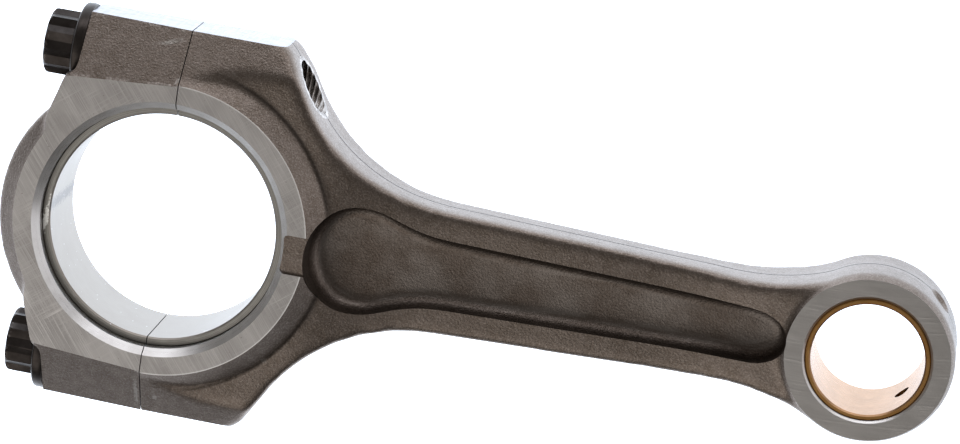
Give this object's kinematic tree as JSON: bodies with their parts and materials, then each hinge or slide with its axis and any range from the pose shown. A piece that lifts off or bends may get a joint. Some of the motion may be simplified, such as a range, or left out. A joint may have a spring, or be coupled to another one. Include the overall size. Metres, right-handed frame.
{
  "type": "connecting rod",
  "caption": "Forged connecting rod with a bolted bearing cap, split bearing shells and a bushed small end.",
  "frame": {"origin": "centre of the footprint, on the plane of the lower big-end thrust face", "axes": "+X along the rod from the cap to the small end, +Z along the two bores"},
  "size_m": [0.1898, 0.0796, 0.025],
  "materials": {
    "forging": "shot-blasted forging with ground faces",
    "bearing_shell": "fine-bored bearing metal",
    "bronze": "fine-bored bronze",
    "bolt_black": "black oxide",
    "sleeve_steel": "ground steel"
  },
  "bodies": {
    "rod": {"rod_body": "forging", "rod_side_shell": "bearing_shell", "pin_bush": "bronze", "dowel_sleeve_upper": "sleeve_steel", "dowel_sleeve_lower": "sleeve_steel"},
    "cap": {"bearing_cap": "forging", "cap_side_shell": "bearing_shell"},
    "bolt_upper": {"cap_bolt_upper": "bolt_black"},
    "bolt_lower": {"cap_bolt_lower": "bolt_black"}
  },
  "joints": [
    {"name": "cap_slide", "type": "slide", "parent": "rod", "child": "cap", "axis": [-1, 0, 0], "range_m": [0, 0.022]},
    {"name": "bolt_upper_turn", "type": "hinge", "parent": "cap", "child": "bolt_upper", "pos_m": [-0.0869, 0.031, 0.0125], "axis": [-1, 0, 0], "range_deg": [0, 7920]},
    {"name": "bolt_lower_turn", "type": "hinge", "parent": "cap", "child": "bolt_lower", "pos_m": [-0.0869, -0.031, 0.0125], "axis": [-1, 0, 0], "range_deg": [0, 7920]}
  ],
  "couplings": [
    {"joint": "bolt_upper_turn", "follows": "cap_slide", "rad_per_m": 6283.2},
    {"joint": "bolt_lower_turn", "follows": "cap_slide", "rad_per_m": 6283.2}
  ]
}
